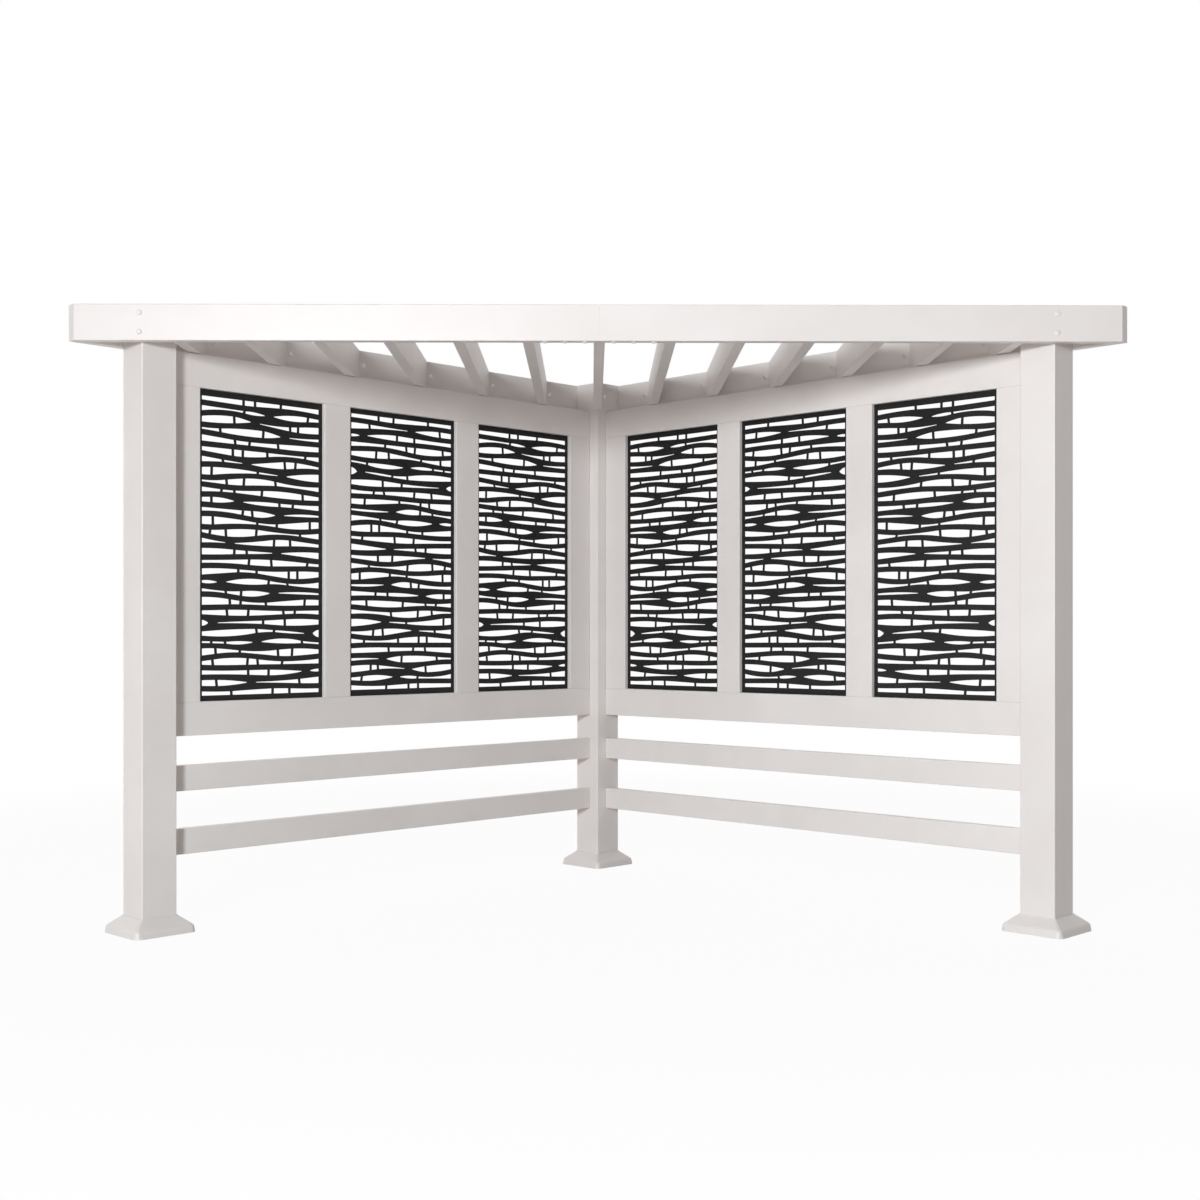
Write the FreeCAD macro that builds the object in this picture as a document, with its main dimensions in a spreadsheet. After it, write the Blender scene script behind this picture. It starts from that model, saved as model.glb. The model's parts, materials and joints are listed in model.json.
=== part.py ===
"""Corner pergola in powder-coated steel, a right-angled triangle in plan.

The origin is on the ground under the centre of the corner post. +X runs to the right
along the open front, -Y out of the open front and +Z up. Sizes are in millimetres.

Two walls run from the corner post, square to each other, to the left and the right post.
In a wall, u is the distance along it from the corner post's centre, and v the distance
from its centre line towards the sheltered side.
"""
import FreeCAD
import Part
import math
import os
import re
import Sketcher
from FreeCAD import Placement, Rotation, Vector

# Driving dimensions
DIMENSIONS = {
    # general clearance between pieces that fit together
    "fit_play": 0.3,
    "least_corner": 0.2,
    # posts
    "post_side": 140.0,
    "post_wall": 2.0,
    "post_corner": 4.0,
    "cap_thickness": 3.0,
    "cap_plug": 15.0,
    # base plates with their stubs
    "base_side": 200.0,
    "base_thickness": 6.0,
    "base_corner": 8.0,
    "stub_wall": 3.0,
    "stub_height": 120.0,
    "stub_screw_height": 34.0,
    "anchor_spacing": 170.0,
    "anchor_hole_radius": 7.0,
    # flared skirts
    "skirt_height": 63.0,
    "skirt_knee_height": 27.0,
    "skirt_lip": 2.5,
    "skirt_foot_side": 250.0,
    "skirt_knee_side": 236.0,
    "skirt_top_side": 151.0,
    "skirt_foot_corner": 26.0,
    "skirt_knee_corner": 14.0,
    "skirt_top_corner": 8.0,
    "skirt_play": 0.5,
    "skirt_split": 0.4,
    # wall frames
    "frame_bottom": 717.0,
    "frame_member": 127.0,
    "frame_depth": 35.0,
    "frame_wall": 1.6,
    "tube_corner": 3.0,
    "opening_width": 565.0,
    "opening_height": 1187.0,
    "post_gap": 2.0,
    # lower rails
    "lower_rail_height": 96.0,
    "first_rail_base": 274.0,
    "second_rail_base": 511.0,
    # beams
    "beam_height": 132.0,
    "beam_depth": 38.0,
    "beam_wall": 2.0,
    "end_cap_thickness": 2.0,
    "end_cap_plug": 15.0,
    "seam_gap": 0.8,
    "splice_first_bolt": 52.0,
    "splice_bolt_pitch": 73.0,
    "splice_end": 36.0,
    # rafters
    "first_rafter": 259.0,
    "rafter_spacing": 254.0,
    "rafter_width": 40.0,
    "rafter_height": 130.0,
    "rafter_wall": 1.5,
    "rafter_post_gap": 8.0,
    # brackets at the rafters' ends
    "tab_thickness": 3.0,
    "tab_height": 70.0,
    "tab_reach": 42.0,
    "tab_flange": 70.0,
    # U-shaped brackets in the tubes' ends
    "bracket_thickness": 2.5,
    "bracket_length": 45.0,
    "frame_bracket_height": 80.0,
    "lower_bracket_height": 60.0,
    # nut blocks in the outer posts
    "block_leg": 40.0,
    "block_chamfer": 4.0,
    "block_margin": 8.0,
    "block_grip": 25.0,
    # bolts, nuts and self-drilling screws
    "bolt_radius": 4.0,
    "bolt_head_radius": 10.3,
    "bolt_head_height": 4.6,
    "bolt_play": 0.4,
    "bolt_pitch": 70.0,
    "tab_bolt_length": 16.0,
    "flange_radius": 9.5,
    "flange_head_height": 6.5,
    "nut_radius": 7.5,
    "nut_height": 6.5,
    "nut_play": 0.1,
    "bolt_tail": 2.0,
    "screw_radius": 2.4,
    "screw_head_radius": 5.0,
    "screw_head_height": 2.6,
    "screw_length": 9.0,
    "screw_play": 0.1,
    "screw_pitch": 36.0,
    # cut-out screens
    "screen_sheet": 2.0,
    "screen_flange": 16.0,
    "screen_setback": 18.0,
    "slot_pitch": 38.0,
    "bar_thickness": 22.0,
    "side_border": 17.0,
    "top_border": 14.0,
    "bottom_border": 10.0,
    "tie_width": 11.0,
    "tie_slant": 1.2,
    "merge_width": 42.0,
    "shortest_slot": 26.0,
    "longest_slot": 200.0,
    "least_slot": 6.0,
    "pointed_end": 2.0,
    "drift_height": 3.0,
    "drift_length": 640.0,
    "drift_rise": 300.0,
    "wave_height": 5.0,
    "wave_length": 460.0,
}

# Sizes and places worked out from the driving dimensions
LAYOUT = {
    "post_half": "post_side / 2",
    "post_bore": "post_side - 2 * post_wall",
    "post_bore_corner": "max(post_corner - post_wall; least_corner)",
    "post_reach": "post_half * sqrt(2)",
    "post_edge": "post_reach - post_corner * (sqrt(2) - 1)",
    "frame_length": "3 * opening_width + 4 * frame_member",
    "post_spacing": "frame_length + 2 * post_gap + post_side",
    "outer_offset": "post_spacing / sqrt(2)",
    "stile_base": "frame_bottom + frame_member",
    "frame_top": "stile_base + opening_height + frame_member",
    "frame_corner": "max(tube_corner - frame_wall; least_corner)",
    "top_height": "frame_top + beam_height",
    "skirt_wall": "(skirt_top_side - post_side) / 2 - skirt_play",
    "beam_middle": "frame_top + beam_height / 2",
    "beam_corner": "max(tube_corner - beam_wall; least_corner)",
    "beam_line": "post_half + beam_depth / 2",
    "beam_start": "post_half + beam_depth",
    "front_back": "outer_offset + post_edge + fit_play",
    "front_middle": "front_back + beam_depth / 2",
    "front_face": "front_back + beam_depth",
    "front_half": "post_reach + front_middle",
    "front_tip": "post_reach + front_face",
    "beam_reach": "(front_tip + front_face) / sqrt(2)",
    "rafter_half": "rafter_width / 2",
    "rafter_corner": "max(tube_corner - rafter_wall; least_corner)",
    "rafter_middle": "top_height - rafter_height / 2",
    "rafter_front": "front_back - tab_thickness",
    "rafter_back": "post_reach - tab_thickness * sqrt(2)",
    "front_tab": "rafter_half + tab_reach",
    "tab_end": "rafter_half * sqrt(2)",
    "tab_bolt": "tab_end + tab_reach / 2",
    "front_tab_bolt": "rafter_half + tab_reach / 2",
    "flange_far": "rafter_half - rafter_wall - fit_play",
    "flange_near": "flange_far - tab_thickness",
    "splice_half": "splice_first_bolt + 2 * splice_bolt_pitch + splice_end",
    "splice_grip": "2 * beam_wall + fit_play",
    "block_height": "bolt_pitch + 2 * block_margin",
    "bracket_width": "frame_depth - 2 * frame_wall - 2 * fit_play",
    "bracket_screw": "(bracket_length + post_gap) / 2",
    "bolt_hole": "bolt_radius + bolt_play",
    "screw_hole": "screw_radius + screw_play",
    "front_bolt_length": "beam_depth + block_grip",
    "splice_bolt_length": "splice_grip + nut_height + bolt_tail",
    "wall_bolt_length": "beam_depth + post_wall + nut_height + bolt_tail",
    "screen_width": "opening_width - 2 * fit_play",
    "screen_height": "opening_height - 2 * fit_play",
    "screen_face": "frame_depth / 2 - screen_setback",
    "first_rail": "first_rail_base + lower_rail_height / 2",
    "second_rail": "second_rail_base + lower_rail_height / 2",
    "bottom_rail": "frame_bottom + frame_member / 2",
    "top_rail": "frame_top - frame_member / 2",
}

WALLS = {"left": -1, "right": 1}
RAIL_LEVELS = ("first_rail", "second_rail", "bottom_rail", "top_rail")
OPENINGS_PER_WALL = 3
SCREEN_SCREWS = 4
POST_TURN = 45
NORMALS = {"XY_Plane": 1, "XZ_Plane": -1, "YZ_Plane": 1}
# A fastener's head from its top to its rim, as shares of its radius and height
HEAD_PROFILE = ((0.55, 1.0), (0.9, 0.62), (1.0, 0.2))
# A flanged head: the hexagon's share of the flange's radius, and the flange's share of the height
HEXAGON_SHARE = 0.78
FLANGE_SHARE = 0.3
# How far the skirt's knee is rounded, as a share of the slopes beside it
KNEE_SHARE = 0.18
SPLICE_BOLTS = 3
# How the screens' slots vary: scatter step, second drift, and the share of ties where bars merge
GOLDEN = (math.sqrt(5) - 1) / 2
COUNTERS_PER_DRIFT = 1.6
MERGED_SHARE = 0.17
STRAIGHT_WITHIN = 0.05

doc = FreeCAD.newDocument("corner_pergola")
nodes = []


def make_sheet(label, cells):
    """A spreadsheet with one alias per row."""
    sheet = doc.addObject("Spreadsheet::Sheet", label)
    for row, (alias, content) in enumerate(cells.items(), start=1):
        sheet.set("A%d" % row, alias)
        sheet.set("B%d" % row, content)
        sheet.setAlias("B%d" % row, alias)
    return sheet


def linked(expression):
    """Write the sheet's name before each alias of an expression."""
    def with_sheet(match):
        word = match.group(0)
        if word in DIMENSIONS:
            return "Dimensions." + word
        if word in LAYOUT:
            return "Layout." + word
        return word
    return re.sub(r"[a-z_]+", with_sheet, expression)


make_sheet("Dimensions", {alias: str(value) for alias, value in DIMENSIONS.items()})
doc.recompute()
layout = make_sheet("Layout", {alias: "=" + linked(text) for alias, text in LAYOUT.items()})
doc.recompute()


def number(expression):
    """The present value of an expression."""
    return float(layout.evalExpression(linked(expression)))


def bind(item, name, expression):
    item.setExpression(name, linked(expression))


# Places

def inward(side):
    """Sign of a wall piece's own Y axis towards the sheltered side."""
    return -side


def wall_turn(side):
    return Rotation(Vector(0, 0, 1), 180 + POST_TURN if side < 0 else -POST_TURN)


def place_on_wall(item, side, u, v, z):
    item.Placement = Placement(Vector(), wall_turn(side))
    bind(item, "Placement.Base.x", "%d * ((%s) - (%s)) / sqrt(2)" % (side, u, v))
    bind(item, "Placement.Base.y", "-((%s) + (%s)) / sqrt(2)" % (u, v))
    bind(item, "Placement.Base.z", z)


def place(item, x, y, z, turn=0):
    item.Placement = Placement(Vector(), Rotation(Vector(0, 0, 1), turn))
    bind(item, "Placement.Base.x", x)
    bind(item, "Placement.Base.y", y)
    bind(item, "Placement.Base.z", z)


def wall_frame(side, u, v, z):
    """Placement in a wall, worked out from expressions."""
    along, across = number(u), number(v)
    base = Vector(side * (along - across) / math.sqrt(2), -(along + across) / math.sqrt(2), number(z))
    return Placement(base, wall_turn(side))


# Sketches and features

def new_body(label):
    return doc.addObject("PartDesign::Body", label)


def keep(item):
    """Count an object as a node of the assembly."""
    nodes.append(item)
    return item


def new_sketch(body, role, offset="0", turn=0):
    plane = next(item for item in body.Origin.OriginFeatures if item.Role == role)
    sketch = body.newObject("Sketcher::SketchObject", body.Name + "_sketch")
    sketch.AttachmentSupport = [(plane, "")]
    sketch.MapMode = "FlatFace"
    sketch.AttachmentOffset = Placement(Vector(), Rotation(Vector(0, 1, 0), turn))
    if offset != "0":
        bind(sketch, "AttachmentOffset.Base.z", offset)
    return sketch


def constrain(sketch, kind, points, expression):
    sketch.addConstraint(Sketcher.Constraint(kind, *points, number(expression)))
    bind(sketch, "Constraints[%d]" % (sketch.ConstraintCount - 1), expression)


def pin(sketch, geometry, point, x, y):
    """Hold one point of a sketch at the place that two expressions give."""
    for kind, axis, expression in (("DistanceX", -2, x), ("DistanceY", -1, y)):
        if expression == "0":
            sketch.addConstraint(Sketcher.Constraint("PointOnObject", geometry, point, axis))
        elif number(expression) > 0:
            constrain(sketch, kind, (-1, 1, geometry, point), expression)
        else:
            constrain(sketch, kind, (geometry, point, -1, 1), "-(%s)" % expression)


def draw_outline(sketch, corners):
    """A closed outline of straight sides through corners given as expressions."""
    points = [Vector(number(x), number(y), 0) for x, y in corners]
    first = sketch.GeometryCount
    for start, end in zip(points, points[1:] + points[:1]):
        sketch.addGeometry(Part.LineSegment(start, end))
    for index in range(len(points)):
        following = first + (index + 1) % len(points)
        sketch.addConstraint(Sketcher.Constraint("Coincident", first + index, 2, following, 1))
    for index, (x, y) in enumerate(corners):
        pin(sketch, first + index, 1, x, y)


def draw_circles(sketch, spots, radius):
    for x, y in spots:
        centre = Vector(number(x), number(y), 0)
        index = sketch.addGeometry(Part.Circle(centre, Vector(0, 0, 1), number(radius)))
        constrain(sketch, "Radius", (index,), radius)
        pin(sketch, index, 3, x, y)


def draw_rounded(sketch, width, height, corner):
    """A rectangle with round corners about the sketch's origin."""
    reach, rise, radius = number(width) / 2, number(height) / 2, number(corner)
    first = sketch.GeometryCount
    quarter = math.pi / 2
    across, up = Vector(reach, 0, 0), Vector(0, rise, 0)
    turns = [Vector(1, -1, 0), Vector(1, 1, 0), Vector(-1, 1, 0), Vector(-1, -1, 0)]
    middles = [across * turn.x + up * turn.y - turn * radius for turn in turns]
    starts = [middle + Vector(math.cos(step * quarter), math.sin(step * quarter), 0) * radius
              for step, middle in enumerate(middles, start=-1)]
    ends = [middle + Vector(math.cos(step * quarter), math.sin(step * quarter), 0) * radius
            for step, middle in enumerate(middles)]
    for index in range(4):
        sketch.addGeometry(Part.LineSegment(ends[index - 1], starts[index]))
    for index, middle in enumerate(middles):
        circle = Part.Circle(middle, Vector(0, 0, 1), radius)
        sketch.addGeometry(Part.ArcOfCircle(circle, (index - 1) * quarter, index * quarter))
    for index in range(4):
        line, arc = first + index, first + 4 + index
        following = first + (index + 1) % 4
        sketch.addConstraint(Sketcher.Constraint("Tangent", line, 2, arc, 1))
        sketch.addConstraint(Sketcher.Constraint("Tangent", arc, 2, following, 1))
        sketch.addConstraint(Sketcher.Constraint("Vertical" if index % 2 else "Horizontal", line))
    for index in range(1, 4):
        sketch.addConstraint(Sketcher.Constraint("Equal", first + 4, first + 4 + index))
    sketch.addConstraint(Sketcher.Constraint("Symmetric", first, 1, first + 2, 1, -1, 1))
    constrain(sketch, "Radius", (first + 4,), corner)
    constrain(sketch, "DistanceX", (first + 3, 1, first + 1, 1), width)
    constrain(sketch, "DistanceY", (first, 1, first + 2, 1), height)


def pad(body, sketch, length):
    feature = body.newObject("PartDesign::Pad", body.Name + "_pad")
    feature.Profile = sketch
    bind(feature, "Length", length)
    doc.recompute()
    return feature


def pocket(body, sketch, depth=None, direction=1, role="XY_Plane"):
    """Cut through both ways, or to a depth along the positive or negative axis."""
    before = body.Shape.Volume
    feature = body.newObject("PartDesign::Pocket", body.Name + "_pocket")
    feature.Profile = sketch
    if depth is None:
        feature.Type = "ThroughAll"
        feature.SideType = "Symmetric"
    else:
        bind(feature, "Length", depth)
        feature.Reversed = direction == NORMALS[role]
    doc.recompute()
    if not body.Shape.Volume < before:
        raise RuntimeError("a cut in %s removes nothing" % body.Label)


def drill(body, role, spots, radius, depth=None, direction=1, turn=0):
    sketch = new_sketch(body, role, turn=turn)
    draw_circles(sketch, spots, radius)
    pocket(body, sketch, depth, direction, role)


def tube(label, role, width, height, wall, corner, bore_corner, length, offset="0"):
    """A length of rectangular tube along the axis square to a plane."""
    body = new_body(label)
    sketch = new_sketch(body, role, offset)
    draw_rounded(sketch, width, height, corner)
    draw_rounded(sketch, "%s - 2 * %s" % (width, wall), "%s - 2 * %s" % (height, wall), bore_corner)
    pad(body, sketch, length)
    return body


def mitre(body, middle, reach, slope, end):
    """Cut one end of a tube along X at 45 degrees in plan."""
    sketch = new_sketch(body, "XY_Plane")
    far, near = "%s + %d * %s" % (middle, end, reach), "%s - %d * %s" % (middle, end, reach)
    high, low = "%d * %s" % (end * slope, reach), "%d * %s" % (-end * slope, reach)
    draw_outline(sketch, [(far, high), (near, low), (far, low)])
    pocket(body, sketch)


def group(label, members):
    """One node of separate solids: pairs of a piece and its placements."""
    copies = []
    for piece, placements in members:
        for placement in placements:
            copy = doc.addObject("App::Link", label + "_copy")
            copy.LinkedObject = piece
            copy.Placement = placement
            copies.append(copy)
    node = doc.addObject("Part::Compound", label)
    node.Links = copies
    return keep(node)


# Fasteners, each along +Z with the underside of its head at the origin

def headed_fastener(label, radius, head_radius, head_height, length):
    body = new_body(label)
    sketch = new_sketch(body, "XZ_Plane")
    dome = [("%s * %g" % (head_radius, across), "%s * %g" % (head_height, up)) for across, up in HEAD_PROFILE]
    shank = [(head_radius, "0"), (radius, "0"), (radius, "-%s" % length), ("0", "-%s" % length)]
    draw_outline(sketch, [("0", head_height)] + dome + shank)
    feature = body.newObject("PartDesign::Revolution", label + "_turned")
    feature.Profile = sketch
    feature.ReferenceAxis = (sketch, ["V_Axis"])
    return body


def draw_hexagon(sketch, radius):
    flat = radius + " * sqrt(3) / 2"
    half = radius + " / 2"
    draw_outline(sketch, [(radius, "0"), (half, flat), ("-" + half, flat),
                          ("-" + radius, "0"), ("-" + half, "-" + flat), (half, "-" + flat)])


def flanged_fastener(label, radius, head_radius, head_height, length):
    """A hexagon head with a round flange under it."""
    body = new_body(label)
    sketch = new_sketch(body, "XZ_Plane")
    hexagon = "%s * %g" % (head_radius, HEXAGON_SHARE)
    draw_outline(sketch, [("0", "%s * %g" % (head_height, FLANGE_SHARE)),
                          (hexagon, "%s * %g" % (head_height, FLANGE_SHARE)), (head_radius, "0"),
                          (radius, "0"), (radius, "-%s" % length), ("0", "-%s" % length)])
    feature = body.newObject("PartDesign::Revolution", label + "_turned")
    feature.Profile = sketch
    feature.ReferenceAxis = (sketch, ["V_Axis"])
    top = new_sketch(body, "XY_Plane")
    draw_hexagon(top, hexagon)
    pad(body, top, head_height)
    return body


def make_nut():
    body = new_body("nut_piece")
    sketch = new_sketch(body, "XY_Plane")
    draw_hexagon(sketch, "nut_radius")
    draw_circles(sketch, [("0", "0")], "bolt_radius + nut_play")
    pad(body, sketch, "nut_height")
    return body


def pointing(direction):
    """Rotation that turns a fastener's head towards a direction."""
    return Rotation(Vector(0, 0, 1), direction)


# Posts, caps, base plates and skirts

POSTS = {"corner": ("0", "0"), "left": ("-outer_offset", "-outer_offset"),
         "right": ("outer_offset", "-outer_offset")}
# The faces of each post that carry rails and wall beams, as a plane and a direction
RAIL_FACES = {"corner": (("YZ_Plane", -1), ("XZ_Plane", -1)), "left": (("YZ_Plane", 1),),
              "right": (("XZ_Plane", 1),)}
BEAM_FACES = {"corner": (("YZ_Plane", 1), ("XZ_Plane", 1)), "left": (("XZ_Plane", 1),),
              "right": (("YZ_Plane", 1),)}


def make_post(name):
    body = tube(name + "_post", "XY_Plane", "post_side", "post_side", "post_wall", "post_corner",
                "post_bore_corner", "top_height - cap_thickness - base_thickness")
    rails = [("0", level + " - base_thickness") for level in RAIL_LEVELS]
    bolts = [("0", "beam_middle - base_thickness %s bolt_pitch / 2" % sign) for sign in "+-"]
    for role, direction in RAIL_FACES[name]:
        drill(body, role, rails, "screw_hole", "post_half", direction)
    for role, direction in BEAM_FACES[name]:
        drill(body, role, bolts, "bolt_hole", "post_half", direction)
    if name == "corner":
        middle_tab = [("tab_bolt - post_half", "rafter_middle - base_thickness")]
        drill(body, "XZ_Plane", middle_tab, "bolt_hole", "post_half", -1)
    else:
        drill(body, "XZ_Plane", bolts, "bolt_hole", "post_side", -1, turn=-POST_TURN)
    for role in ("YZ_Plane", "XZ_Plane"):
        drill(body, role, [("0", "stub_screw_height - base_thickness")], "screw_hole")
    x, y = POSTS[name]
    place(body, x, y, "base_thickness", POST_TURN)
    return keep(body)


def make_cap(label, width, height, corner, wall, bore_corner, thickness, plug):
    """A lid with a plug that pushes into the end of a tube, along +Z."""
    body = new_body(label)
    lid = new_sketch(body, "XY_Plane")
    draw_rounded(lid, width, height, corner)
    pad(body, lid, thickness)
    below = new_sketch(body, "XY_Plane")
    inset = " - 2 * %s - 2 * fit_play" % wall
    draw_rounded(below, width + inset, height + inset, bore_corner)
    feature = pad(body, below, plug)
    feature.Reversed = True
    return body


def make_base_plate():
    body = new_body("base_plate_piece")
    plate = new_sketch(body, "XY_Plane")
    draw_rounded(plate, "base_side", "base_side", "base_corner")
    pad(body, plate, "base_thickness")
    stub = new_sketch(body, "XY_Plane", "base_thickness")
    outside = "post_bore - 2 * fit_play"
    inside = outside + " - 2 * stub_wall"
    draw_rounded(stub, outside, outside, "post_bore_corner")
    draw_rounded(stub, inside, inside, "post_bore_corner")
    pad(body, stub, "stub_height")
    corners = [("%d * anchor_spacing / 2" % x, "%d * anchor_spacing / 2" % y)
               for x in (-1, 1) for y in (-1, 1)]
    drill(body, "XY_Plane", corners, "anchor_hole_radius")
    for role in ("YZ_Plane", "XZ_Plane"):
        drill(body, role, [("0", "stub_screw_height")], "screw_hole")
    return body


def between(first, second, share):
    """A section of a profile between two others, each a set of expressions."""
    return tuple("(%s + (%s - %s) * %g)" % (a, b, a, share) for a, b in zip(first, second))


def skirt_profile():
    """Height, side and corner of a skirt's sections from its foot to its lip, round at the knee."""
    foot = ("0", "skirt_foot_side", "skirt_foot_corner")
    knee = ("skirt_knee_height", "skirt_knee_side", "skirt_knee_corner")
    lip = ("(skirt_height - skirt_lip)", "skirt_top_side", "skirt_top_corner")
    below, above = between(knee, foot, KNEE_SHARE), between(knee, lip, KNEE_SHARE)
    middle = between(between(below, above, 0.5), knee, 0.5)
    return [foot, below, middle, above, lip, ("skirt_height",) + lip[1:]]


def skirt_loft(body, kind, inset):
    """A loft through the skirt's sections, set in by a thickness."""
    sketches = []
    for height, side, corner in skirt_profile():
        sketch = new_sketch(body, "XY_Plane", height)
        width = "%s - 2 * %s" % (side, inset)
        draw_rounded(sketch, width, width, "%s - %s" % (corner, inset))
        sketches.append(sketch)
    loft = body.newObject(kind, body.Name + "_loft")
    loft.Profile, loft.Sections, loft.Ruled = sketches[0], sketches[1:], True
    doc.recompute()


def make_skirt_shell():
    body = new_body("skirt_shell_piece")
    skirt_loft(body, "PartDesign::AdditiveLoft", "0")
    skirt_loft(body, "PartDesign::SubtractiveLoft", "skirt_wall")
    return body


def make_skirt(name, shell):
    """Both halves of a skirt, parted along the plane of its two side corners."""
    slit = doc.addObject("Part::Box", name + "_slit")
    bind(slit, "Length", "2 * skirt_foot_side")
    bind(slit, "Width", "skirt_split")
    bind(slit, "Height", "skirt_height")
    slit.Placement = Placement(Vector(), Rotation(Vector(0, 0, 1), -POST_TURN))
    shift = number("skirt_split") / 2
    slit.Placement.Base = slit.Placement.Rotation * Vector(-number("skirt_foot_side"), -shift, 0)
    copy = doc.addObject("App::Link", name + "_shell_copy")
    copy.LinkedObject = shell
    node = doc.addObject("Part::Cut", name + "_skirt")
    node.Base, node.Tool = copy, slit
    x, y = POSTS[name]
    place(node, x, y, "0", POST_TURN)
    return keep(node)


def post_frame(name, height):
    x, y = POSTS[name]
    return Placement(Vector(number(x), number(y), number(height)), Rotation(Vector(0, 0, 1), POST_TURN))


# Beams

def rafter_count():
    """Rafters on each side of the middle one."""
    room = number("outer_offset - post_reach - rafter_half - rafter_post_gap - first_rafter")
    return 1 + int(room // number("rafter_spacing"))


def rafter_place(step):
    """A rafter's place along the front beam, counted from the middle one."""
    if step == 0:
        return "0"
    return "%s(first_rafter + %d * rafter_spacing)" % ("-" if step < 0 else "", abs(step) - 1)


def rafter_seat(step):
    """Where a rafter's centre line meets its wall beam, along the wall."""
    return "((2 * %s - post_reach) / sqrt(2))" % rafter_place(step)


def make_wall_beam(name, side):
    body = tube(name + "_wall_beam", "YZ_Plane", "beam_depth", "beam_height", "beam_wall",
                "tube_corner", "beam_corner", "beam_start + beam_reach - end_cap_thickness")
    mitre(body, "beam_depth / 2", "beam_depth", inward(side), -1)
    tabs = [("beam_start + %s - tab_bolt" % rafter_seat(step), "rafter_middle - beam_middle")
            for step in range(1, rafter_count() + 1)]
    drill(body, "XZ_Plane", tabs, "bolt_hole", "beam_depth", inward(side))
    bolts = [("beam_start" + post, sign + "bolt_pitch / 2")
             for post in ("", " + post_spacing") for sign in ("", "-")]
    drill(body, "XZ_Plane", bolts, "bolt_hole")
    place_on_wall(body, side, "-beam_start", "-beam_line", "beam_middle")
    return keep(body)


def splice_bolts():
    """Distances of the splice's bolts from the seam."""
    return ["(splice_first_bolt + %d * splice_bolt_pitch)" % index for index in range(SPLICE_BOLTS)]


def make_front_beam(name, side):
    """One half of the front beam, drawn from the seam outwards along X."""
    body = tube("front_beam_" + name, "YZ_Plane", "beam_depth", "beam_height", "beam_wall",
                "tube_corner", "beam_corner", "front_tip - seam_gap / 2", "seam_gap / 2")
    mitre(body, "front_half", "beam_depth", -side, 1)
    tabs = [("%s - front_tab_bolt" % rafter_place(step), "rafter_middle - beam_middle")
            for step in range(1, rafter_count() + 1)]
    if side > 0:
        tabs.append(("front_tab_bolt", "rafter_middle - beam_middle"))
    drill(body, "XZ_Plane", tabs, "bolt_hole", "beam_depth", side)
    drill(body, "XY_Plane", [(along, "0") for along in splice_bolts()], "bolt_hole", "beam_height", -1)
    bolts = [("outer_offset", sign + "bolt_pitch / 2") for sign in ("", "-")]
    drill(body, "XZ_Plane", bolts, "bolt_hole")
    place(body, "0", "-front_middle", "beam_middle", 0 if side > 0 else 180)
    return keep(body)


def make_splice():
    inset = " - 2 * beam_wall - 2 * fit_play"
    body = tube("front_beam_splice", "YZ_Plane", "beam_depth" + inset, "beam_height" + inset,
                "beam_wall", "beam_corner", "least_corner", "2 * splice_half", "-splice_half")
    spots = [(sign + along, "0") for along in splice_bolts() for sign in ("", "-")]
    drill(body, "XY_Plane", spots, "bolt_hole", "beam_height", -1)
    next_tab = "(first_rafter - front_tab_bolt)"
    tabs = [(along, "rafter_middle - beam_middle") for along in ("front_tab_bolt", next_tab, "-" + next_tab)]
    drill(body, "XZ_Plane", tabs, "bolt_hole", "beam_depth", 1)
    place(body, "0", "-front_middle", "beam_middle")
    return keep(body)


def make_nut_block():
    """A prism for the inside of a post's front corner, apex forwards."""
    body = new_body("nut_block_piece")
    sketch = new_sketch(body, "XY_Plane", "-block_height / 2")
    apex = "(post_bore / 2 - fit_play) * sqrt(2)"
    front, back = "block_chamfer / sqrt(2)", "block_leg / sqrt(2)"
    draw_outline(sketch, [("-" + front, "-%s + %s" % (apex, front)), (front, "-%s + %s" % (apex, front)),
                          (back, "-%s + %s" % (apex, back)), ("-" + back, "-%s + %s" % (apex, back))])
    pad(body, sketch, "block_height")
    drill(body, "XZ_Plane", [("0", sign + "bolt_pitch / 2") for sign in ("", "-")],
          "bolt_radius + nut_play")
    return body


# Rafters and their brackets

def make_rafter(step, label):
    """A rafter drawn along X from the front beam, then turned to run back."""
    side = (step > 0) - (step < 0)
    length = "(rafter_front + rafter_back - %s)" % rafter_place(abs(step))
    if side == 0:
        length = "(rafter_front - post_reach - tab_thickness / sqrt(2) - fit_play)"
    body = tube(label, "YZ_Plane", "rafter_width", "rafter_height", "rafter_wall", "tube_corner",
                "rafter_corner", length + " + rafter_half" * abs(side))
    if side:
        mitre(body, length, "rafter_width", side, 1)
    place(body, rafter_place(step), "-rafter_front", "rafter_middle", 90)
    return keep(body)


def bracket_body(label, corners, spot):
    body = new_body(label)
    sketch = new_sketch(body, "XY_Plane", "-tab_height / 2")
    draw_outline(sketch, corners)
    pad(body, sketch, "tab_height")
    drill(body, "XZ_Plane", [(spot, "0")], "bolt_hole")
    return body


def make_wall_tab(label, hand, end):
    """A plate on the wall beam, with a flange at 45 degrees inside the rafter."""
    def across(expression):
        return "%d * (%s)" % (hand, expression)
    left = "-tab_bolt - tab_reach / 2"
    root_far = "tab_thickness - flange_far * sqrt(2)"
    root_near = "tab_thickness - flange_near * sqrt(2)"
    corners = [(left, "0"), (end, "0"), (end, across("tab_thickness")),
               (root_near, across("tab_thickness")),
               ("(tab_flange - flange_near) / sqrt(2)", across("(tab_flange + flange_near) / sqrt(2)")),
               ("(tab_flange - flange_far) / sqrt(2)", across("(tab_flange + flange_far) / sqrt(2)")),
               (root_far, across("tab_thickness")), (left, across("tab_thickness"))]
    return bracket_body(label, corners, "-tab_bolt")


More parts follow.
